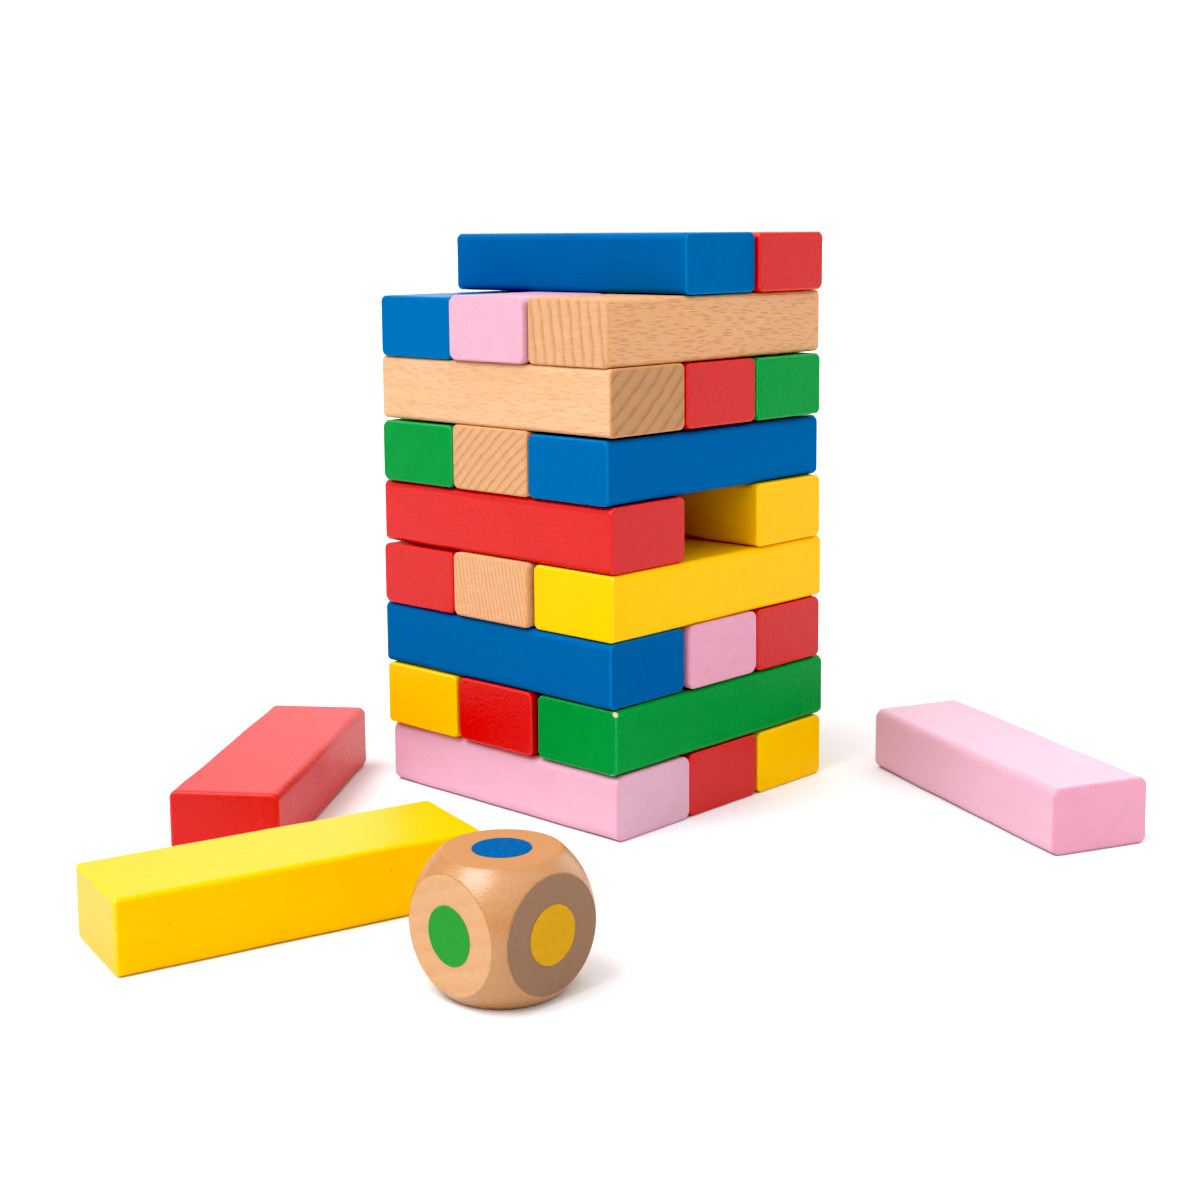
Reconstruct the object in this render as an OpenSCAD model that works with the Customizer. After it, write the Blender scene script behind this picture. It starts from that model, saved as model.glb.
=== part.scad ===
// Stacking tower of coloured beech blocks, standing part-way through a game, with three
// drawn blocks and the colour die lying beside it.
// Millimetres. +Z is up. The origin is under the middle of the tower, on the surface it stands on.
// Odd layers run along X and even layers along Y. -Y is the front and +X the right side.

/* [Block] */
// Length of a block, end to end
block_l = 75; // [60:1:90]
// Width of a block, about a third of its length
block_w = 24.5; // [19:0.1:29]
// Height of a block
block_h = 14.9; // [11:0.1:19]
// Radius that tumbling leaves on a block's four long edges
edge_r = 1.5; // [0.8:0.1:2.6]
// Smaller radius on the edges around a block's ends
end_r = 0.5; // [0.3:0.1:1.0]

/* [Stack] */
// Clear width between two neighbouring blocks of a layer, before hand-laid error
side_gap = 0.1; // [0.05:0.05:0.5]
// Clear height between two layers
layer_gap = 0.05; // [0.05:0.05:0.2]
// How much of the hand-laid unevenness is kept, 0 for a perfectly square stack
laid_by_hand = 1; // [0:0.1:1]

/* [Loose blocks] */
// Centre of the drawn yellow block, in block lengths
yellow_at = [0.264, -1.521]; // [-2:0.001:2]
// Turn of the yellow block about Z, in degrees
yellow_turn = 74.5; // [65:0.1:85]
// Centre of the drawn red block, in block lengths
red_at = [-0.535, -0.945]; // [-2:0.001:2]
// Turn of the red block about Z, in degrees
red_turn = 125.9; // [115:0.1:135]
// Centre of the drawn pink block, in block lengths
pink_at = [1.123, 0.609]; // [-2:0.001:2]
// Turn of the pink block about Z, in degrees
pink_turn = 155.3; // [145:0.1:165]

/* [Die] */
// Size of the die across its flats
die_size = 25.5; // [16:0.5:30]
// Diameter of the ball that rounds the cube, as a ratio of its size
die_ball = 1.31; // [1.2:0.01:1.38]
// Diameter of a painted spot, as a share of the flat it sits on
spot_share = 0.5; // [0.3:0.05:0.8]
// Thickness of a spot's paint
spot_t = 0.1; // [0.05:0.05:0.2]
// Centre of the die, in block lengths
die_at = [1.008, -1.44]; // [-2:0.001:2]
// Turn of the die about Z, in degrees
die_turn = -1; // [-10:1:10]

/* [Hidden] */
$fn = 64;
row_pitch = block_w + side_gap;
layer_pitch = block_h + layer_gap;
flat_r = die_size / 2 * sqrt(die_ball * die_ball - 1);
spot_r = flat_r * spot_share;

// Each block of the stack: its name, layer, row, how far it was slid along its length, how far it
// lies off its row, its share of the full edge radius, and how much thinner than the thickest
// block it was planed. Row -1 is the front or left one.
STACK = [
    ["layer1_front_pink", 1, -1, 0.3, 0.0, 1.3, 0.1],
    ["layer1_middle_red", 1, 0, 0.0, 0.0, 0.9, 0.0],
    ["layer1_back_yellow", 1, 1, 0.2, 0.5, 0.9, 0.1],
    ["layer2_left_yellow", 2, -1, -0.7, -0.5, 0.8, 0.1],
    ["layer2_middle_red", 2, 0, -0.4, 0.0, 1.1, 0.0],
    ["layer2_right_green", 2, 1, 0.4, 0.9, 1.1, 0.2],
    ["layer3_front_blue", 3, -1, -0.6, -0.9, 1.0, 0.1],
    ["layer3_middle_pink", 3, 0, 0.1, 0.0, 1.3, 0.0],
    ["layer3_back_red", 3, 1, 0.1, 0.0, 1.0, 0.1],
    ["layer4_left_red", 4, -1, -0.9, -0.6, 0.9, 0.4],
    ["layer4_middle_natural", 4, 0, -1.0, -0.4, 0.8, 0.0],
    ["layer4_right_yellow", 4, 1, 0.0, 0.6, 0.8, 0.1],
    ["layer5_front_red", 5, -1, -0.5, -0.6, 0.9, 0.1],
    ["layer5_back_yellow", 5, 1, 0.2, -0.2, 0.9, 0.0],
    ["layer6_left_green", 6, -1, -0.6, -0.5, 0.9, 0.4],
    ["layer6_middle_natural", 6, 0, -0.5, -0.5, 0.8, 0.0],
    ["layer6_right_blue", 6, 1, -0.4, -0.4, 1.0, 0.5],
    ["layer7_front_natural", 7, -1, -0.4, -0.6, 0.7, 0.0],
    ["layer7_middle_red", 7, 0, 0.0, -0.6, 0.9, 0.2],
    ["layer7_back_green", 7, 1, 0.2, -0.5, 0.9, 0.3],
    ["layer8_left_blue", 8, -1, -0.4, -0.5, 0.9, 0.5],
    ["layer8_middle_pink", 8, 0, -1.0, -0.5, 1.2, 0.0],
    ["layer8_right_natural", 8, 1, 0.0, -0.4, 0.8, 0.1],
    ["layer9_middle_blue", 9, 0, -0.5, -0.2, 0.9, 1.1],
    ["layer9_back_red", 9, 1, 0.5, -0.2, 1.0, 1.2],
];

// Paint and wood colours
red = "#e23a36";
yellow = "#fdd60f";
green = "#2ea23f";
blue = "#0b64ad";
pink = "#f4b9d2";
natural = "#eec08c";
die_wood = "#d9a468";

// True if a block's name ends with this colour word
function ends_with(name, word) =
    let (n = len(name), w = len(word))
    len([for (i = [0:w - 1]) if (name[n - w + i] == word[i]) i]) == w;

function colour_of(name) =
    ends_with(name, "red") ? red :
    ends_with(name, "yellow") ? yellow :
    ends_with(name, "green") ? green :
    ends_with(name, "blue") ? blue :
    ends_with(name, "pink") ? pink : natural;

// Flat rectangle a by b about the origin, with true arcs of radius r at its corners
module rounded_rectangle(a, b, r) {
    square([a - 2 * r, b], center = true);
    square([a, b - 2 * r], center = true);
    for (x = [-1, 1], y = [-1, 1])
        translate([x * (a / 2 - r), y * (b / 2 - r)])
            circle(r);
}

// One block lying along X on z = 0: three crossed bars, so its long edges get the wide radius
// and the edges around its ends the small one
module block(wear, thin) {
    h = block_h - thin;
    translate([0, 0, h / 2])
        intersection() {
            rotate([90, 0, 90])
                linear_extrude(block_l, center = true)
                    rounded_rectangle(block_w, h, edge_r * wear);
            rotate([90, 0, 0])
                linear_extrude(block_w + 1, center = true)
                    rounded_rectangle(block_l, h, end_r);
            linear_extrude(h + 1, center = true)
                rounded_rectangle(block_l, block_w, end_r * 1.2);
        }
}

// A block of the stack, laid along X in odd layers and along Y in even ones
module stacked_block(name, layer, row, slide, across, wear, thin) {
    along_y = layer % 2 == 0;
    s = slide * laid_by_hand;
    a = row * row_pitch + across * laid_by_hand;
    color(colour_of(name))
        translate([along_y ? a : s, along_y ? s : a, (layer - 1) * layer_pitch])
            rotate([0, 0, along_y ? 90 : 0])
                block(wear, thin);
}

// A drawn block, lying on its wide side beside the stack
module loose_block(paint, at, turn, wear) {
    color(paint)
        translate([at.x * block_l, at.y * block_l, 0])
            rotate([0, 0, turn])
                block(wear, 0);
}

module loose_yellow() {
    loose_block(yellow, yellow_at, yellow_turn, 0.6);
}

module loose_red() {
    loose_block(red, red_at, red_turn, 0.6);
}

module loose_pink() {
    loose_block(pink, pink_at, pink_turn, 1.2);
}

// Moves its children from the die's own frame, centred on it, to where it lies
module die_place() {
    translate([die_at.x * block_l, die_at.y * block_l, die_size / 2])
        rotate([0, 0, die_turn])
            children();
}

// Wooden cube turned with a ball: six round flats and soft shoulders
module die() {
    color(die_wood)
        die_place()
            intersection() {
                cube(die_size, center = true);
                sphere(d = die_size * die_ball, $fn = 96);
            }
}

// Disc of paint on the flat that faces +Z once turned by the given angles
module die_spot(paint, turn) {
    color(paint)
        die_place()
            rotate(turn)
                translate([0, 0, die_size / 2])
                    cylinder(h = spot_t, r = spot_r);
}

module die_spot_blue() {
    die_spot(blue, [0, 0, 0]);
}

module die_spot_green() {
    die_spot(green, [90, 0, 0]);
}

module die_spot_yellow() {
    die_spot(yellow, [0, 90, 0]);
}

module die_spot_red() {
    die_spot(red, [-90, 0, 0]);
}

module die_spot_pink() {
    die_spot(pink, [0, -90, 0]);
}

for (b = STACK)
    stacked_block(b[0], b[1], b[2], b[3], b[4], b[5], b[6]);
loose_yellow();
loose_red();
loose_pink();
die();
die_spot_blue();
die_spot_green();
die_spot_yellow();
die_spot_red();
die_spot_pink();
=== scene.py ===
import bpy
import numpy as np
from mathutils import Matrix, Vector


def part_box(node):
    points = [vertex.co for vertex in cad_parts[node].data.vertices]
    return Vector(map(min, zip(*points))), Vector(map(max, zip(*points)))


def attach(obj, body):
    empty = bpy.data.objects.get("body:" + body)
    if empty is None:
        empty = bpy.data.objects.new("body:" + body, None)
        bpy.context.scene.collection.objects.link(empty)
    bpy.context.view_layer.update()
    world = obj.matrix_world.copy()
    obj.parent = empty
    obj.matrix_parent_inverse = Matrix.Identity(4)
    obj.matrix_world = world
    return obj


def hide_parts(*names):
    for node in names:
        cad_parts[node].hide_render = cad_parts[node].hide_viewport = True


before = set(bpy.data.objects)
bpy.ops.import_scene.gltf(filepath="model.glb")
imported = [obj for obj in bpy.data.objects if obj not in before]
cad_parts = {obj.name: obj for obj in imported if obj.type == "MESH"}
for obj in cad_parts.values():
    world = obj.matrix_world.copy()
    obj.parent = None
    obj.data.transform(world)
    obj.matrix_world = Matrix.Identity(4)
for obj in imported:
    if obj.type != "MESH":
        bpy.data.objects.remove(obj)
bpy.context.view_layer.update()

# The camera. It stands off the tower's front right corner, a little above the top layer, and
# looks slightly down with a short portrait lens, shifted a little so that uprights stay upright.
# The view's darkest tones are pulled down to black. Places are in metres and angles in degrees.
CAMERA_AT = (0.31030, -0.33096, 0.13448)
CAMERA_AZIMUTH = 43.29
CAMERA_DOWN = 7.61
CAMERA_ROLL = -0.45
CAMERA_SHIFT = -0.1
LENS_MM = 56.54
BLACK_LEVEL = 0.022

scene = bpy.context.scene
camera = bpy.data.objects.new("camera", bpy.data.cameras.new("camera"))
scene.collection.objects.link(camera)
camera.data.sensor_width = 36.0
camera.data.lens = LENS_MM
camera.data.shift_y = CAMERA_SHIFT
camera.data.clip_start = 0.01
camera.matrix_world = (
    Matrix.Translation(CAMERA_AT)
    @ Matrix.Rotation(np.radians(CAMERA_AZIMUTH), 4, "Z")
    @ Matrix.Rotation(np.radians(90 - CAMERA_DOWN), 4, "X")
    @ Matrix.Rotation(np.radians(CAMERA_ROLL), 4, "Z")
)
scene.camera = camera
scene.view_settings.view_transform = "Standard"
scene.view_settings.use_curve_mapping = True
scene.view_settings.curve_mapping.black_level = (BLACK_LEVEL,) * 3
scene.view_settings.curve_mapping.update()


# The studio. A white table without an end, an even white surround, and one large soft box that
# hangs off the front left and gives the shadows their side.
def linear(colour):
    """Linear RGBA of an sRGB hex colour. Each channel is raised to the power 2.4 after an offset,
    except that a very dark one is only divided."""
    srgb = np.array([int(colour[i : i + 2], 16) for i in (1, 3, 5)]) / 255
    rgb = np.where(srgb <= 0.04045, srgb / 12.92, ((srgb + 0.055) / 1.055) ** 2.4)
    return (*rgb.tolist(), 1.0)


def add(tree, kind, inputs=(), **settings):
    """One node of this kind, with its settings, and its inputs set to values or linked to sockets."""
    made = tree.nodes.new(kind)
    for name, value in settings.items():
        setattr(made, name, value)
    for name, value in dict(inputs).items():
        if isinstance(value, bpy.types.NodeSocket):
            tree.links.new(value, made.inputs[name])
        else:
            made.inputs[name].default_value = value
    return made


def new_material(name):
    """An empty node material and its tree."""
    material = bpy.data.materials.new(name)
    material.use_nodes = True
    material.node_tree.nodes.clear()
    return material, material.node_tree


def new_piece(name, points, faces, material, attributes=()):
    """A smooth mesh object at the origin, from points in metres, with its point attributes."""
    mesh = bpy.data.meshes.new(name)
    mesh.from_pydata(points.tolist(), [], faces)
    mesh.polygons.foreach_set("use_smooth", np.ones(len(mesh.polygons), bool))
    for title, values in dict(attributes).items():
        vector = values.ndim == 2
        made = mesh.attributes.new(title, "FLOAT_VECTOR" if vector else "FLOAT", "POINT")
        made.data.foreach_set("vector" if vector else "value", values.astype(np.float32).ravel())
    mesh.materials.append(material)
    mesh.update()
    piece = bpy.data.objects.new(name, mesh)
    scene.collection.objects.link(piece)
    return piece


def step(tree, value, low, high, to_low=0.0, to_high=1.0, curve="SMOOTHSTEP"):
    """A step of value from low to high, smooth unless the curve is given as LINEAR."""
    ends = {"Value": value, "From Min": low, "From Max": high, "To Min": to_low, "To Max": to_high}
    return add(tree, "ShaderNodeMapRange", ends, interpolation_type=curve).outputs["Result"]


def maths(tree, operation, a, b=0.5, c=0.5):
    """The result of one Math node."""
    return add(tree, "ShaderNodeMath", {0: a, 1: b, 2: c}, operation=operation).outputs["Value"]


def blend(tree, amount, a, b, how="MIX"):
    """Colour a turned into colour b by an amount."""
    made = add(tree, "ShaderNodeMix", {"Factor": amount, "A": a, "B": b}, data_type="RGBA", blend_type=how)
    return made.outputs["Result"]


# The table's squares along each side, how far it goes each way and its top, in metres.
TABLE_CELLS = 20
TABLE_REACH = 12.0
TABLE_TOP = -0.00005
table_paper, tree = new_material("matt_white_table_paper")
place = add(tree, "ShaderNodeTexCoord").outputs["Object"]
fibres = add(tree, "ShaderNodeTexNoise", {"Vector": place, "Scale": 40.0, "Detail": 3.0}).outputs["Fac"]
tone = blend(tree, fibres, linear("#eceef0"), linear("#f0f1f3"))
matt = {"Base Color": tone, "Roughness": 0.9, "Specular IOR Level": 0.1}
paper = add(tree, "ShaderNodeBsdfPrincipled", matt)
add(tree, "ShaderNodeOutputMaterial", {"Surface": paper.outputs["BSDF"]})

side = TABLE_REACH * np.linspace(-1, 1, TABLE_CELLS + 1) ** 3
gx, gy = np.meshgrid(side, side, indexing="ij")
points = np.stack([gx, gy, np.full_like(gx, TABLE_TOP)], -1).reshape(-1, 3)
cell = np.arange((TABLE_CELLS + 1) * TABLE_CELLS).reshape(TABLE_CELLS, -1)[:, :TABLE_CELLS].ravel()
squares = np.stack([cell, cell + TABLE_CELLS + 1, cell + TABLE_CELLS + 2, cell + 1], -1)
table = new_piece("white_table", points, squares.tolist(), table_paper)

# The surround is white where it is seen, but as a light it is a white wall behind the table and a
# dimmer room in front of it, darkest low down, with a dark screen off to the left.
TOWARDS_WALL = (-0.5, 0.866, 0.0)
SEEN_WHITE = 1.05
world = bpy.data.worlds.new("white_wall_and_dim_room")
scene.world = world
world.use_nodes = True
tree = world.node_tree
tree.nodes.clear()
towards = add(tree, "ShaderNodeTexCoord").outputs["Generated"]
right, _, up = add(tree, "ShaderNodeSeparateXYZ", {"Vector": towards}).outputs
facing = add(tree, "ShaderNodeVectorMath", {0: towards, 1: TOWARDS_WALL}, operation="DOT_PRODUCT")
behind = facing.outputs["Value"]
wall = step(tree, behind, 0.5, 0.95, 0.98, 1.7, "LINEAR")
screen = step(tree, right, -1.0, -0.72, 0.3, 1.0, "LINEAR")
low_front = step(tree, up, 0.1, 0.65, 0.2, 1.5, "LINEAR")
back = step(tree, behind, 0.0, 0.5, 0.0, 1.0, "LINEAR")
low = add(tree, "ShaderNodeMix", {"Factor": back, "A": low_front, "B": 1.0}).outputs["Result"]
room = maths(tree, "MULTIPLY", maths(tree, "MULTIPLY", wall, screen), low)
seen = add(tree, "ShaderNodeLightPath").outputs["Is Camera Ray"]
strength = add(tree, "ShaderNodeMix", {"Factor": seen, "A": room, "B": SEEN_WHITE}).outputs["Result"]
sky = add(tree, "ShaderNodeBackground", {"Color": (1.0, 1.0, 1.0, 1.0), "Strength": strength})
add(tree, "ShaderNodeOutputWorld", {"Surface": sky.outputs["Background"]})

# One very large soft light, high up on the left: its power, its width in degrees and where it
# shines to.
KEY_POWER = 2.1
KEY_WIDTH = 40
KEY_SHINES = (0.17, 0.52, -0.85)
key = bpy.data.objects.new("left_soft_light", bpy.data.lights.new("left_soft_light", "SUN"))
scene.collection.objects.link(key)
key.data.energy = KEY_POWER
key.data.angle = np.radians(KEY_WIDTH)
key.rotation_euler = Vector(KEY_SHINES).to_track_quat("-Z", "Y").to_euler()


# Painted beech blocks. Each is a planed beech stick, cut to length, tumbled until its edges are
# soft, and dipped in a thin satin water lacquer. The grain still shows through as a faint relief,
# pores stay open as pin dots, and knocks at the corners bare the pale wood.
BARE = "#e6c79b"


def mark(tree, name, socket="Fac"):
    """A piece's point attribute, as one number, or as three with the socket Vector."""
    return add(tree, "ShaderNodeAttribute", attribute_name=name).outputs[socket]


def shares(tree):
    """The three shares that a piece's finish attribute holds."""
    return add(tree, "ShaderNodeSeparateXYZ", {"Vector": mark(tree, "finish", "Vector")}).outputs


def scaled(tree, fibre, along, across, out):
    """A place in the trunk counted in cells this many millimetres long, wide and deep."""
    cells = {"Vector": fibre, "Scale": (1 / along, 1 / across, 1 / out)}
    return add(tree, "ShaderNodeMapping", cells).outputs["Vector"]


def streaks(tree, fibre, along, across, detail=3.0):
    """Noise drawn out along the grain: its scale in millimetres along it and across it."""
    look = {"Vector": scaled(tree, fibre, along, across, across), "Scale": 1.0, "Detail": detail}
    return add(tree, "ShaderNodeTexNoise", look).outputs["Fac"]


def times(tree, colour, factors):
    """A colour with each channel multiplied by its factor."""
    return blend(tree, 1.0, colour, (*factors, 1.0), "MULTIPLY")


def finish_surface(tree, colour, rough, ior, specular, height, strength, depth):
    """The tree's surface: its colour, roughness and shine, and a relief of this depth in metres."""
    relief = add(tree, "ShaderNodeBump", {"Height": height, "Strength": strength, "Distance": depth})
    look = {
        "Base Color": colour,
        "Roughness": rough,
        "IOR": ior,
        "Specular IOR Level": specular,
        "Normal": relief.outputs["Normal"],
    }
    shader = add(tree, "ShaderNodeBsdfPrincipled", look)
    add(tree, "ShaderNodeOutputMaterial", {"Surface": shader.outputs["BSDF"]})


def lacquer(name, deep, pale, rim_coat_and_highlight, specular, roughness, grainy, woven, blotches):
    """Satin water lacquer on tumbled beech. A block's coat lies between the deep colour and the pale one.
    Over an arris it turns to the rim colour, which is partly a thinner coat and partly a painted highlight
    line along the edges round an end. Grainy is how far the grain shows in it, woven how far the cut cells
    do, and blotches how unevenly it took."""
    material, tree = new_material(name)
    fibre = mark(tree, "fibre", "Vector")
    wear, edge, end = shares(tree)
    coat = mark(tree, "board")
    grain = streaks(tree, fibre, 9.0, 0.42)
    cloud = streaks(tree, fibre, 14.0, 5.0, 2.0)
    peel = streaks(tree, fibre, 0.8, 0.8, 2.0)
    linen = streaks(tree, fibre, 0.55, 0.4, 1.0)
    late = step(tree, maths(tree, "FRACT", mark(tree, "ring")), 0.55, 0.95)
    body = blend(tree, coat, linear(deep), linear(pale))
    # Thin lacquer lets the rings and the fibre ends show on an end, and long streaks on a side.
    dark = times(tree, body, (0.76, 0.76, 0.76))
    amount = maths(tree, "MULTIPLY", step(tree, grain, 0.32, 0.72), grainy)
    amount = maths(tree, "MULTIPLY_ADD", maths(tree, "MULTIPLY", late, end), 0.3 * grainy, amount)
    cut_cells = maths(tree, "MULTIPLY_ADD", end, woven, 0.5 * woven)
    amount = maths(tree, "MULTIPLY_ADD", step(tree, linen, 0.3, 0.75), cut_cells, amount)
    amount = maths(tree, "MULTIPLY_ADD", step(tree, cloud, 0.38, 0.68), blotches, amount)
    body = blend(tree, amount, body, dark)
    # Over the sharp arrises round an end the coat runs thin, and the rim colour there is also a painted
    # highlight line.
    arris_coat_and_highlight_share = maths(tree, "MULTIPLY", edge, step(tree, grain, 0.3, 0.6, 0.3, 0.9))
    body = blend(tree, arris_coat_and_highlight_share, body, linear(rim_coat_and_highlight))
    # Open pores: one in each cell of 5.6 by 4.2 mm, seen where the surface happens to cut it.
    cells = {"Vector": scaled(tree, fibre, 5.6, 4.2, 4.2), "Scale": 1.0}
    pores = step(tree, add(tree, "ShaderNodeTexVoronoi", cells).outputs["Distance"], 0.025, 0.045, 0.6, 0.0)
    body = blend(tree, pores, body, times(tree, body, (0.45, 0.32, 0.30)))
    # Knocks: where the wear passes a ragged limit the pale wood shows, with a thinned rim.
    ragged = maths(tree, "ADD", maths(tree, "SUBTRACT", streaks(tree, fibre, 0.7, 0.3), 0.5), wear)
    body = blend(tree, step(tree, ragged, 0.56, 0.72, 0.0, 0.6), body, linear(rim_coat_and_highlight))
    chipped = step(tree, ragged, 0.80, 0.88)
    body = blend(tree, chipped, body, linear(BARE))
    # Relief: raised grain, orange peel, the pores and the step down into a chip.
    height = maths(tree, "MULTIPLY_ADD", grain, 0.3, peel)
    height = maths(tree, "SUBTRACT", height, maths(tree, "ADD", pores, maths(tree, "MULTIPLY", chipped, 0.8)))
    rough = maths(tree, "MULTIPLY_ADD", grain, 0.14, roughness - 0.07)
    rough = maths(tree, "MULTIPLY_ADD", chipped, 0.3, rough)
    finish_surface(tree, body, rough, 1.48, specular, height, 0.8, 0.00005 + 0.0004 * woven)
    return material


# Each paint's deep and pale colours, its rim colour for arrises and knock rims (on the arrises also a painted
# highlight line), shine, roughness, grain, woven cells and blotches.
PAINT_LOOKS = {
    "red": ("#cb1615", "#cf2c29", "#dc2c28", 0.32, 0.36, 0.24, 0.30, 0.10),
    "yellow": ("#f9b600", "#f9c200", "#fbca2c", 0.19, 0.36, 0.12, 0.10, 0.08),
    "green": ("#128a38", "#0a963d", "#30a259", 0.14, 0.40, 0.26, 0.30, 0.20),
    "blue": ("#005898", "#0065a3", "#107ab8", 0.06, 0.38, 0.10, 0.12, 0.08),
    "pink": ("#e695ae", "#d9a9bd", "#d88ea2", 0.30, 0.42, 0.06, 0.26, 0.12),
}
MATERIALS = {}
for paint, look in PAINT_LOOKS.items():
    MATERIALS[paint] = lacquer(paint + "_satin_lacquer_on_beech", *look)


# Unpainted beech blocks. They are the same sticks, only sanded and tumbled. Beech is pale and
# warm, with short dark flecks where its rays are cut along, and rings and fine ray lines on the
# ends, which look darker because end grain swallows light.
def ray_lines(tree, fibre, along, across, out):
    """Noise in thin sheets that run out from the pith, as beech's rays do."""
    look = {"Vector": scaled(tree, fibre, along, across, out), "Scale": 1.0, "Detail": 1.0, "Roughness": 0.4}
    return add(tree, "ShaderNodeTexNoise", look).outputs["Fac"]


MATERIALS["natural"], tree = new_material("tumbled_bare_beech")
fibre = mark(tree, "fibre", "Vector")
_, edge, end = shares(tree)
wander = maths(tree, "MULTIPLY_ADD", streaks(tree, fibre, 40.0, 4.0, 1.0), 0.35, mark(tree, "ring"))
phase = maths(tree, "FRACT", wander)
late = maths(tree, "MULTIPLY", step(tree, phase, 0.45, 0.86), step(tree, phase, 0.90, 0.98, 1.0, 0.0))
late = maths(tree, "MULTIPLY", late, step(tree, streaks(tree, fibre, 40.0, 3.0, 1.0), 0.3, 0.6, 0.65, 1.0))
end_face = step(tree, end, 0.3, 0.9)
coat = mark(tree, "board")
grain = streaks(tree, fibre, 12.0, 0.35)
cloud = streaks(tree, fibre, 30.0, 9.0, 2.0)
# On a side the rays are cut to short dark dashes, up to 3 mm long and a tenth of that wide.
cells = {"Vector": scaled(tree, fibre, 4.4, 0.34, 0.34), "Scale": 1.0}
dashes = step(tree, add(tree, "ShaderNodeTexVoronoi", cells).outputs["Distance"], 0.20, 0.46, 1.0, 0.0)
flecks = maths(tree, "MULTIPLY", dashes, step(tree, coat, 0.3, 1.0, 1.0, 0.6))
body = blend(tree, coat, linear("#d49d70"), linear("#deb189"))
body = blend(tree, maths(tree, "MULTIPLY", late, 0.16), body, linear("#c98c55"))
body = blend(tree, maths(tree, "MULTIPLY", step(tree, cloud, 0.35, 0.7), 0.25), body, linear("#d39b66"))
body = blend(tree, maths(tree, "MULTIPLY", step(tree, grain, 0.4, 0.75), 0.22), body, linear("#c48d5c"))
body = blend(tree, maths(tree, "MULTIPLY", flecks, 0.52), body, linear("#ab6c3c"))
# On an end they are fine pale lines that run outwards across the darker rings, among open pits.
ends = blend(tree, coat, linear("#b3855b"), linear("#d6a57b"))
ends = blend(tree, maths(tree, "MULTIPLY", late, 0.62), ends, times(tree, ends, (0.72, 0.52, 0.34)))
rays = step(tree, ray_lines(tree, fibre, 3.0, 0.24, 9.0), 0.48, 0.60)
ends = blend(tree, maths(tree, "MULTIPLY", rays, 0.45), ends, times(tree, ends, (1.12, 1.14, 1.18)))
pits = streaks(tree, fibre, 0.5, 0.22, 1.0)
ends = blend(tree, maths(tree, "MULTIPLY", step(tree, pits, 0.5, 0.75), 0.30), ends, linear("#8f6138"))
body = blend(tree, end_face, body, ends)
# Painted highlight: the edges are tinted a warmer orange, as where they catch the light.
body = blend(tree, maths(tree, "MULTIPLY", edge, 0.5), body, linear("#d98f4c"))
height = maths(tree, "SUBTRACT", maths(tree, "MULTIPLY", grain, 0.6), maths(tree, "MULTIPLY", flecks, 0.5))
open_pits = maths(tree, "MULTIPLY", maths(tree, "MULTIPLY", pits, end_face), 0.8)
height = maths(tree, "SUBTRACT", height, open_pits)
finish_surface(tree, body, maths(tree, "MULTIPLY_ADD", grain, 0.15, 0.55), 1.5, 0.3, height, 0.5, 0.00008)


# The shape of every block, and the tree it was cut from. Long edges are rounded by tumbling, end
# edges hardly at all, and each corner has had its own knocks.
def grid_faces(stations, around):
    """Quads between closed rings of points, first to last, and a fan at each end, whose middle
    points follow after the rings."""
    j = np.arange(around)
    ahead = (j + 1) % around
    base = np.arange(stations - 1)[:, None] * around
    quads = np.stack([base + j, base + around + j, base + around + ahead, base + ahead], -1).reshape(-1, 4)
    last, middle = (stations - 1) * around, stations * around
    first_fan = np.stack([np.full(around, middle), j, ahead], -1)
    last_fan = np.stack([np.full(around, middle + 1), last + ahead, last + j], -1)
    return quads.tolist() + first_fan.tolist() + last_fan.tolist()


def turned(points, degrees):
    """Points turned about Z."""
    c, s = np.cos(np.radians(degrees)), np.sin(np.radians(degrees))
    return points @ np.array([[c, s, 0], [-s, c, 0], [0, 0, 1]])


# Rings of points on an end face, as shares of the bar's section, and points across a flat side.
END_RINGS = np.array([0.06, 0.2, 0.38, 0.56, 0.72, 0.85, 0.94, 0.985])
ACROSS_FLAT = np.array([0.015, 0.05, 0.11, 0.2, 0.3, 0.4, 0.5, 0.6, 0.7, 0.8, 0.89, 0.95, 0.985])
# Rings just behind an end's round edge, in millimetres, and how many go between the two ends.
BEHIND_END = np.array([0.5, 1.2, 2.2])
MIDDLE_RINGS = 36
# The edge radius swings by a share of itself over waves of these lengths along the bar.
WAVE_LENGTHS = np.array([23.0, 41.0, 71.0])
WAVE_SHARE = 0.16
# A knock presses the surface in by this share of its radius.
KNOCK_PRESS = 0.22


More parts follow.
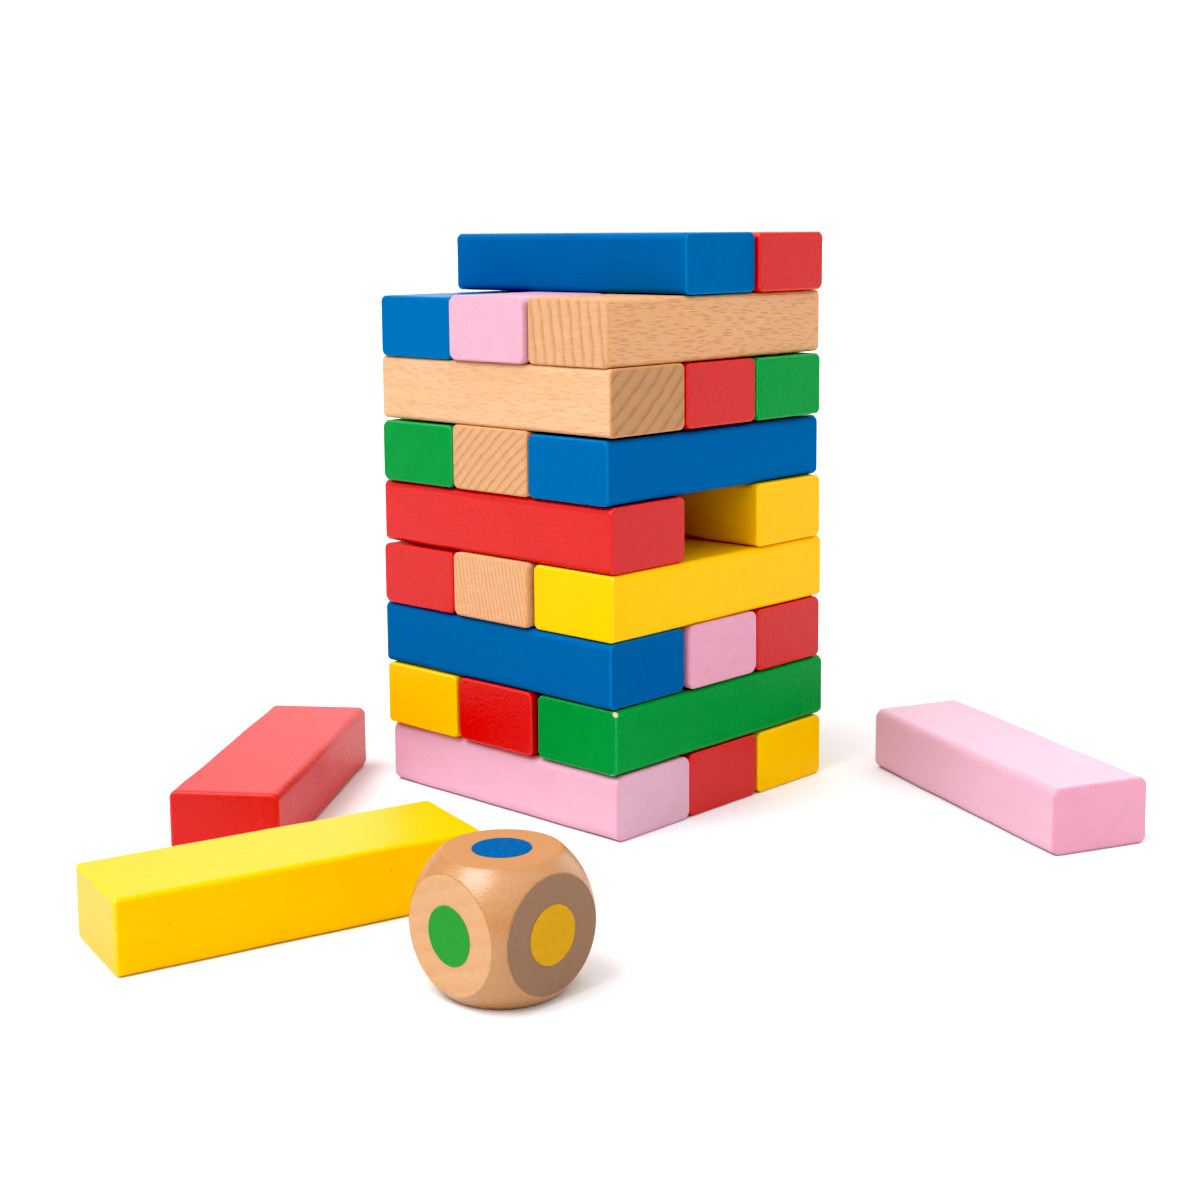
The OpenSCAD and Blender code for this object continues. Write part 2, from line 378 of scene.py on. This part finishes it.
def rounded_bar(length, width, height, edge, end, knocks, rng):
    """Closed shell of a bar along X about the origin, in millimetres, as points, faces and finish.
    Around the bar goes a rectangle whose corners are arcs of radius edge, a little uneven along
    the bar. Towards an end the rectangle is inset by end less a quarter circle of radius end, and
    on the end face it shrinks to the middle. A knock is a place, as shares of the half sizes, a
    radius and a depth. The finish is each point's wear, edge and end share."""
    quarter = np.radians(np.linspace(0, 90, 7))
    on_end, behind_end = 0 * END_RINGS, 0 * BEHIND_END
    back = length / 2 - end
    xs = np.concatenate([on_end + length / 2, length / 2 - end * (1 - np.cos(quarter)), back - BEHIND_END])
    insets = np.concatenate([on_end + end, end * (1 - np.sin(quarter)), behind_end])
    shrinks = np.concatenate([END_RINGS, 0 * quarter + 1, behind_end + 1])
    bends = np.concatenate([on_end, quarter, behind_end + np.pi / 2])
    middle = np.linspace(xs[-1], -xs[-1], MIDDLE_RINGS + 2)[1:-1]
    xs = np.concatenate([xs, middle, -xs[::-1]])
    insets = np.concatenate([insets, 0 * middle, insets[::-1]])
    shrinks = np.concatenate([shrinks, 0 * middle + 1, shrinks[::-1]])
    bends = np.concatenate([bends, 0 * middle + np.pi / 2, bends[::-1]])
    waves = rng.uniform(0, 2 * np.pi, (4, 3))
    swing = np.sin(2 * np.pi * xs[:, None, None] / WAVE_LENGTHS + waves).mean(-1)
    radius = edge * (1 + WAVE_SHARE * swing)
    arc = np.radians(np.linspace(0, 90, 9))[None, :] + np.radians([0, 90, 180, 270])[:, None]
    signs = np.array([[1, 1], [-1, 1], [-1, -1], [1, -1]])
    core = signs * (np.array([width, height]) / 2 - radius[:, :, None])
    rim = np.stack([np.cos(arc), np.sin(arc)], -1)
    arcs = core[:, :, None] + (radius - insets[:, None])[:, :, None, None] * rim[None]
    start, stop = arcs[:, :, -1:], np.roll(arcs, -1, 1)[:, :, :1]
    section = np.concatenate([arcs, start + (stop - start) * ACROSS_FLAT[:, None]], 2)
    stations, around = len(xs), section.shape[1] * section.shape[2]
    section = section.reshape(stations, around, 2) * shrinks[:, None, None]
    along = np.broadcast_to(xs[:, None, None], (stations, around, 1))
    shell = np.concatenate([along, section], -1).reshape(-1, 3)
    shell = np.concatenate([shell, [[length / 2, 0, 0], [-length / 2, 0, 0]]])
    # The edge share marks where the coat thins and where a highlight line is painted. The long edges' share
    # is small, and that of the edges round an end is full.
    on_arc = np.concatenate([np.sin(2 * (arc - arc[:, :1])), np.zeros((4, len(ACROSS_FLAT)))], 1).reshape(-1)
    long_edges = 0.12 * on_arc[None, :] * (shrinks[:, None] == 1)
    edge_share = np.append(np.maximum(long_edges, np.sin(2 * bends)[:, None]).ravel(), [0, 0])
    end_share = np.append(np.repeat(np.cos(bends), around), [1, 1])
    # Knocks: most at the eight corners, a few along the edges, each pressed inwards.
    half = np.array([length, width, height]) / 2
    corners = np.array([[x, y, z] for x in (-1, 1) for y in (-1, 1) for z in (-1, 1)]) * (half - 0.35)
    nicks = rng.uniform(-1, 1, (5, 3)) * half
    nicks[:, 1:] = np.sign(nicks[:, 1:]) * (half[1:] - 0.3)
    worst = np.array(knocks).reshape(-1, 5)
    places = np.concatenate([corners, nicks, worst[:, :3] * (half - 0.3)])
    sizes = np.concatenate([0.3 + 0.7 * rng.random(8) ** 3, rng.uniform(0.2, 0.45, 5), worst[:, 3]])
    depths = np.concatenate([0.3 + 0.7 * rng.random(8) ** 2, rng.uniform(0.3, 0.9, 5), worst[:, 4]])
    away = np.linalg.norm(shell[:, None] - places[None], axis=-1) / sizes
    knock = np.exp(-(away**2))
    wear = (knock * depths).max(1)
    press = (knock * sizes * KNOCK_PRESS).max(1)
    outward = shell - np.clip(shell, -(half - edge), half - edge)
    outward /= np.maximum(np.linalg.norm(outward, axis=1, keepdims=True), 1e-9)
    finish = np.stack([wear, edge_share, end_share], -1)
    return shell - outward * press[:, None], grid_faces(stations, around), finish


def cut_from_trunk(points, pith_angle, pith_distance, ring_width, slope, rng):
    """Where each point, in millimetres, lay in the trunk: its place along the grain, round the
    pith and out from it, and its count of rings. The pith runs along X beside the block, at this
    angle round X and this distance, and climbs by slope."""
    turn = np.radians(pith_angle)
    pith = pith_distance * np.array([np.cos(turn), np.sin(turn)])
    off = points[:, 1:] - pith + slope * points[:, :1]
    out = np.linalg.norm(off, axis=1)
    back = (np.arctan2(off[:, 1], off[:, 0]) - turn) % (2 * np.pi) - np.pi
    shift = rng.uniform(0, 900, 3)
    fibre = np.stack([points[:, 0], back * pith_distance, out], -1) + shift
    return fibre, out / ring_width + rng.uniform(0, 1)


# A hair under full size, so that rounding never puts a piece past the CAD's box.
NEAR_FULL_SIZE = 0.999998


def make_block(node, centre, turn, size, edge, end, seed, cut, coat, knocks):
    """One block, from its CAD node's middle, its turn about Z in degrees and its size, all in
    millimetres. Its coat runs from 0, deep, to 1, pale, on its sides and on its ends. It rides on
    its own body and takes its CAD node's place."""
    rng = np.random.default_rng(seed)
    shell, faces, finish = rounded_bar(*size, edge, end, knocks, rng)
    fibre, ring = cut_from_trunk(shell, *cut, rng)
    placed = turned(NEAR_FULL_SIZE * shell, turn) + centre
    paint = node.split("_")[-1]
    board = coat[0] + (coat[1] - coat[0]) * finish[:, 2]
    marks = {"fibre": fibre, "ring": ring, "finish": finish, "board": board}
    piece = new_piece("block_" + node, placed / 1000, faces, MATERIALS[paint], marks)
    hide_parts(node)
    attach(piece, node)


# The stack: twenty-five blocks in nine layers, crossed at each layer. One was drawn from the
# middle of the fifth layer, and the top layer has room for one more.
END_RADIUS = 0.55
EDGE_RADIUS = 1.5
# Other radii of the long edges, in millimetres: tumbling wears some blocks more than others.
EDGES = {
    "layer1_front_pink": 2.0,
    "layer2_middle_red": 1.7,
    "layer2_right_green": 1.6,
    "layer3_middle_pink": 2.0,
    "layer8_middle_pink": 1.9,
    "layer4_middle_natural": 1.2,
    "layer6_middle_natural": 1.2,
    "layer7_front_natural": 1.1,
    "layer8_right_natural": 1.2,
    "layer4_right_yellow": 1.2,
    "layer2_left_yellow": 1.2,
}
# How pale a block's coat came out, from 0 to 1, on its sides and on its ends. On the lowest layer the ends
# are set palest as painted light, lifting the shade low down by the table.
STACK_COAT = (0.5, 0.5)
COATS = {
    "layer2_middle_red": (0.3, 0.3),
    "layer4_right_yellow": (0.7, 1.0),
    "layer2_left_yellow": (0.3, 0.3),
    "layer8_left_blue": (1.0, 1.0),
    "layer6_right_blue": (0.5, 0.8),
    "layer3_front_blue": (0.5, 0.4),
    "layer9_middle_blue": (0.4, 0.8),
    "layer8_middle_pink": (0.9, 0.9),
    "layer1_front_pink": (0.9, 1.0),
    "layer7_front_natural": (0.95, 0.05),
    "layer7_back_green": (0.9, 0.9),
    "layer8_right_natural": (0.2, 0.75),
    "layer6_middle_natural": (0.8, 0.7),
    "layer4_middle_natural": (1.0, 1.0),
    "layer1_back_yellow": (0.5, 1.0),
    "layer1_middle_red": (0.5, 1.0),
    "loose_pink": (1.0, 0.3),
    "loose_red": (0.3, 0.5),
    "loose_yellow": (0.5, 0.0),
}
# The worst knocks, each a place in shares of the half sizes, a radius and a depth.
KNOCKS = {
    "layer2_right_green": [
        (-1, -1, 1, 1.1, 1.5),
        (-1, -0.9, -1, 0.5, 1.3),
        (-1, 0.1, -1, 0.4, 1.2),
        (-1, -0.3, -1, 0.3, 1.2),
        (-1, -0.98, -0.5, 0.3, 1.2),
    ],
    "layer6_left_green": [
        (-1, 1, 1, 0.5, 1.3),
        (-1, -0.8, 0.9, 0.35, 1.3),
        (-1, -0.75, -0.6, 0.25, 1.2),
        (-1, 0.6, -0.7, 0.22, 1.2),
    ],
    "layer4_right_yellow": [(-1, -1, 1, 0.5, 1.3)],
    "layer5_front_red": [(1, -1, 1, 0.4, 1.3), (1, -1, -1, 0.45, 1.3)],
    "layer4_left_red": [(-1, 1, -1, 0.5, 1.3)],
    "layer3_front_blue": [(1, -1, 1, 0.35, 1.2)],
    "loose_yellow": [(-1, -1, 1, 0.4, 1.2)],
}
# How the unpainted blocks lay in the trunk: the pith's angle in degrees, its distance and the
# ring width in millimetres, and the slope of the grain. The painted ones, where it hardly shows,
# take theirs from their number.
CUTS = {
    "layer4_middle_natural": (168, 160, 1.2, 0.01),
    "layer6_middle_natural": (-132, 150, 2.1, 0.01),
    "layer7_front_natural": (132, 110, 3.2, 0.01),
    "layer8_right_natural": (-7, 160, 2.9, 0.01),
}


def middle_and_size(node):
    """The middle and the size of a CAD node's box, in millimetres."""
    low, high = (np.array(corner) * 1000 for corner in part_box(node))
    return (low + high) / 2, high - low


stack = sorted(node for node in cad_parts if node.startswith("layer"))
for number, node in enumerate(stack):
    along_y = int(node[len("layer")]) % 2 == 0
    centre, size = middle_and_size(node)
    size = size[[1, 0, 2]] if along_y else size
    cut = CUTS.get(node, ((37 * number) % 360, 55, 2.4, 0.01))
    edge, coat, knocks = EDGES.get(node, EDGE_RADIUS), COATS.get(node, STACK_COAT), KNOCKS.get(node, [])
    turn = 90 if along_y else 0
    make_block(node, centre, turn, size, edge, END_RADIUS, 100 + number, cut, coat, knocks)


# The drawn blocks: three that were taken out, lying flat on the table at odd angles. They have
# the common size, and each its own turn in degrees and radii along its edges and round its ends.
BLOCK_SIZE = np.array([75.0, 24.5, 14.9])
DRAWN = {
    "loose_yellow": (74.5, 1.1, 0.8),
    "loose_red": (125.9, 1.7, 0.9),
    "loose_pink": (155.3, 1.9, 0.7),
}
for number, (node, (turn, edge, end)) in enumerate(DRAWN.items()):
    centre, _ = middle_and_size(node)
    cut, coat, knocks = (60 * number, 60, 2.6, 0.01), COATS[node], KNOCKS.get(node, [])
    make_block(node, centre, turn, BLOCK_SIZE, edge, end, 200 + number, cut, coat, knocks)


# The die: a beech cube turned with a ball so that its corners are round, tumbled, and dipped in
# clear satin varnish, which pools to a soft shine on the shoulders. Its flats were sanded after.
varnish, tree = new_material("clear_satin_varnish_on_beech")
fibre = mark(tree, "fibre", "Vector")
flat, _, end = shares(tree)
wander = maths(tree, "MULTIPLY_ADD", streaks(tree, fibre, 40.0, 5.0), 0.5, mark(tree, "ring"))
phase = maths(tree, "FRACT", wander)
late = maths(tree, "MULTIPLY", step(tree, phase, 0.25, 0.85), step(tree, phase, 0.90, 1.0, 1.0, 0.0))
grain = streaks(tree, fibre, 4.0, 0.20)
rays = step(tree, ray_lines(tree, fibre, 1.6, 0.3, 2.5), 0.60, 0.74)
pits = streaks(tree, fibre, 0.45, 0.17, 1.0)
end_face = step(tree, end, 0.35, 0.95)
body = blend(tree, mark(tree, "board"), linear("#b47a43"), linear("#cb9a6b"))
body = blend(tree, maths(tree, "MULTIPLY", late, 0.16), body, linear("#b57a45"))
body = blend(tree, maths(tree, "MULTIPLY", step(tree, grain, 0.38, 0.7), 0.30), body, linear("#b57f4c"))
body = blend(tree, maths(tree, "MULTIPLY", rays, 0.10), body, linear("#a2693b"))
open_pits = maths(tree, "MULTIPLY", step(tree, pits, 0.36, 0.8), 0.55)
body = blend(tree, end_face, body, blend(tree, open_pits, linear("#8c6647"), linear("#5e412c")))
# The turned shoulders cut across the fibres, so they drank the varnish and came out browner.
open_pits = maths(tree, "MULTIPLY", step(tree, pits, 0.42, 0.75), 0.5)
shoulder = blend(tree, open_pits, linear("#bc8044"), linear("#7f4a18"))
fibres = maths(tree, "MULTIPLY", step(tree, grain, 0.38, 0.66), 0.6)
shoulder = blend(tree, fibres, shoulder, linear("#9a6130"))
body = blend(tree, step(tree, flat, 0.45, 0.55, 0.75, 0.0), body, shoulder)
open_pits = maths(tree, "MULTIPLY", maths(tree, "MULTIPLY", pits, end_face), 0.8)
height = maths(tree, "SUBTRACT", grain, open_pits)
rough = maths(tree, "MULTIPLY_ADD", grain, 0.16, step(tree, flat, 0.3, 0.7, 0.17, 0.66))
finish_surface(tree, body, rough, 1.5, 0.8, height, 0.5, 0.00008)

DIE_TURN = -1
DIE_BALL = 1.31
SHARPNESS = 500
DIE_ROWS, DIE_COLUMNS = 190, 380
# How the die lay in the trunk, as for the blocks, and the share of X in a direction on its ends.
DIE_CUT = (60, 70, 3.0, -0.2)
ON_END = 0.76


def turned_cube(half, ball, rows, columns, sharpness):
    """Closed shell about the origin on a grid of latitude and longitude. Along each direction the
    surface lies at the nearest of the ball and the cube's planes, eased where they meet: the
    distances' reciprocals are raised to a high power, added, and the root is taken."""
    latitude = np.radians(np.linspace(90, -90, rows + 1))[1:-1]
    longitude = np.radians(np.arange(columns) * 360 / columns)
    lat, lon = np.meshgrid(latitude, longitude, indexing="ij")
    way = np.stack([np.cos(lat) * np.cos(lon), np.cos(lat) * np.sin(lon), np.sin(lat)], -1).reshape(-1, 3)
    way = np.concatenate([way, [[0, 0, 1], [0, 0, -1]]])
    planes = half / np.maximum(np.abs(way), 1e-6)
    reach = np.concatenate([planes, np.full((len(way), 1), ball)], 1)
    nearest = reach.min(1, keepdims=True)
    distance = nearest[:, 0] * ((nearest / reach) ** sharpness).sum(1) ** (-1 / sharpness)
    flatness = np.clip((ball - planes.min(1)) / 0.15 + 0.5, 0, 1)
    return way * distance[:, None], grid_faces(rows - 1, columns), flatness


die_centre, die_size = middle_and_size("die")
half = die_size[2] / 2
rng = np.random.default_rng(7)
shell, faces, flatness = turned_cube(half, half * DIE_BALL, DIE_ROWS, DIE_COLUMNS, SHARPNESS)
fibre, ring = cut_from_trunk(shell, *DIE_CUT, rng)
x_share = np.abs(shell[:, 0]) / np.linalg.norm(shell, axis=1)
end_share = np.where(x_share > ON_END, 1.0, np.clip((x_share - 0.4) / 0.6, 0, 1))
finish = np.stack([flatness, 0 * flatness, end_share], -1)
# The flats above and below are deeper in colour than those on the sides.
board = 1 - np.clip((np.abs(shell[:, 2]) / half - 0.9) * 10, 0, 1)
marks = {"fibre": fibre, "ring": ring, "finish": finish, "board": board}
placed = turned(NEAR_FULL_SIZE * shell, DIE_TURN) + die_centre
die = new_piece("wooden_die", placed / 1000, faces, varnish, marks)
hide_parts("die")
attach(die, "die")


# The die's spots: discs of thick screen ink, one in each paint colour. The flat without one
# stands for the unpainted blocks. The ink is slightly mottled, with a few specks of dust.
def ink(name, colour):
    """Screen ink: one even colour, faintly mottled, with a satin surface."""
    material, tree = new_material(name)
    place = add(tree, "ShaderNodeTexCoord").outputs["Object"]
    mottle = add(tree, "ShaderNodeTexNoise", {"Vector": place, "Scale": 900.0, "Detail": 3.0}).outputs["Fac"]
    dust = add(tree, "ShaderNodeTexVoronoi", {"Vector": place, "Scale": 260.0}).outputs["Distance"]
    darker = times(tree, linear(colour), (0.86, 0.86, 0.86))
    body = blend(tree, step(tree, mottle, 0.35, 0.75, 0.0, 0.6), linear(colour), darker)
    body = blend(tree, step(tree, dust, 0.02, 0.035, 0.4, 0.0), body, linear("#f2ead8"))
    rough = maths(tree, "MULTIPLY_ADD", mottle, 0.15, 0.4)
    finish_surface(tree, body, rough, 1.5, 0.05, mottle, 0.3, 0.00004)
    return material


INKS = {"blue": "#005894", "green": "#308f36", "yellow": "#cb9828", "red": "#c82422", "pink": "#dd9bb9"}
for spot, colour in INKS.items():
    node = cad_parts["die_spot_" + spot]
    node.material_slots[0].material = ink(spot + "_screen_ink", colour)
